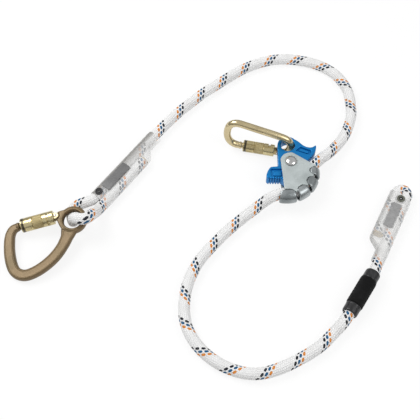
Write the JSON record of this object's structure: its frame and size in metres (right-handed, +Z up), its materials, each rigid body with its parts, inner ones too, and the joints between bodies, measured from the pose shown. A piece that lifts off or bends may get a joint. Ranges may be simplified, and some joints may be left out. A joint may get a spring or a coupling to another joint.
{
  "type": "tree climbing lanyard",
  "caption": "Short thick braided rope lanyard with a cam rope adjuster on a small carabiner, a captive-eye carabiner at the folded end, clear end sleeves and a black grip.",
  "frame": {"origin": "under the middle of the metal parts' bounding box, at the height of the lowest of them", "axes": "+X along the longer side of the lay seen from above, to the adjuster's side; +Z up out of the floor, across the plates; +Y away from the viewer"},
  "size_m": [0.565, 0.5237, 0.0607],
  "materials": {
    "rope": "braided, with coloured tracer strands",
    "clear_sleeve": "clear, slightly frosted",
    "label": "plain printed film",
    "tag_black": "flat",
    "tag_olive": "flat",
    "sealed_end": "melted rope end",
    "grip": "matt, lightly waved",
    "collar": "glossy dark",
    "plate": "satin blasted",
    "cam": "blue anodised",
    "axle": "polished",
    "bush": "plain",
    "hook_metal": "bronze anodised",
    "hook_barrel": "yellow-gold anodised",
    "oval_metal": "pale gold anodised",
    "steel": "plain"
  },
  "bodies": {
    "rope_and_adjuster": {"end_cut_end": "sealed_end", "end_label": "label", "end_sleeve": "clear_sleeve", "end_tag": "tag_olive", "eye_cut_end": "sealed_end", "eye_label": "label", "eye_sleeve": "clear_sleeve", "eye_tag": "tag_black", "grip_collar_lower": "collar", "grip_collar_upper": "collar", "grip_sleeve": "grip", "rope_end": "rope", "rope_eye": "rope", "rope_in_adjuster": "rope", "rope_lower": "rope", "rope_through_grip": "rope", "rope_upper": "rope", "axle": "axle", "front_plate": "plate", "rear_plate": "plate"},
    "cam": {"cam_lever": "cam", "cam_bush": "bush"},
    "small_carabiner": {"oval_frame": "oval_metal", "oval_gate_pin": "steel"},
    "small_gate": {"oval_gate": "oval_metal", "oval_gate_plunger": "steel", "oval_gate_spring": "steel", "oval_guide_pin": "steel"},
    "small_lock": {"oval_lock_sleeve": "hook_barrel", "oval_sleeve_spring": "steel"},
    "eye_carabiner": {"hook_frame": "hook_metal", "hook_gate_pin": "steel"},
    "eye_gate": {"hook_gate": "hook_metal", "hook_gate_plunger": "steel", "hook_gate_spring": "steel", "hook_guide_pin": "steel"},
    "eye_lock": {"hook_lock_sleeve": "hook_barrel", "hook_sleeve_spring": "steel"}
  },
  "joints": [
    {"name": "cam_turn", "type": "hinge", "parent": "rope_and_adjuster", "child": "cam", "pos_m": [0.17684, 0.05838, 0.02222], "axis": [0, 0, 1], "range_deg": [0, 8]},
    {"name": "small_carabiner_swing", "type": "hinge", "parent": "cam", "child": "small_carabiner", "pos_m": [0.17394, 0.08808, 0.00867], "axis": [0, 0, 1], "range_deg": [-15, 20]},
    {"name": "small_gate_open", "type": "hinge", "parent": "small_carabiner", "child": "small_gate", "pos_m": [0.16148, 0.09181, 0.00867], "axis": [0.197, 0.9772, -0.0785], "range_deg": [0, 20], "stiffness_Nm_per_rad": 0.06, "springref_deg": -28.65},
    {"name": "small_lock_twist", "type": "hinge", "parent": "small_gate", "child": "small_lock", "pos_m": [0.16148, 0.09181, 0.00867], "axis": [0.9803, -0.1977, 0], "range_deg": [0, 90], "stiffness_Nm_per_rad": 0.01, "springref_deg": -28.65},
    {"name": "eye_carabiner_swing", "type": "hinge", "parent": "rope_and_adjuster", "child": "eye_carabiner", "pos_m": [-0.12456, -0.03022, 0.02147], "axis": [-0.0991, -0.1096, 0.989], "range_deg": [-10, 25]},
    {"name": "eye_gate_open", "type": "hinge", "parent": "eye_carabiner", "child": "eye_gate", "pos_m": [-0.14922, -0.02398, 0.01969], "axis": [-0.0991, -0.1096, 0.989], "range_deg": [0, 25], "stiffness_Nm_per_rad": 0.06, "springref_deg": -28.65},
    {"name": "eye_lock_twist", "type": "hinge", "parent": "eye_gate", "child": "eye_lock", "pos_m": [-0.14922, -0.02398, 0.01969], "axis": [0.9655, 0.23, 0.1223], "range_deg": [0, 90], "stiffness_Nm_per_rad": 0.01, "springref_deg": -28.65}
  ]
}
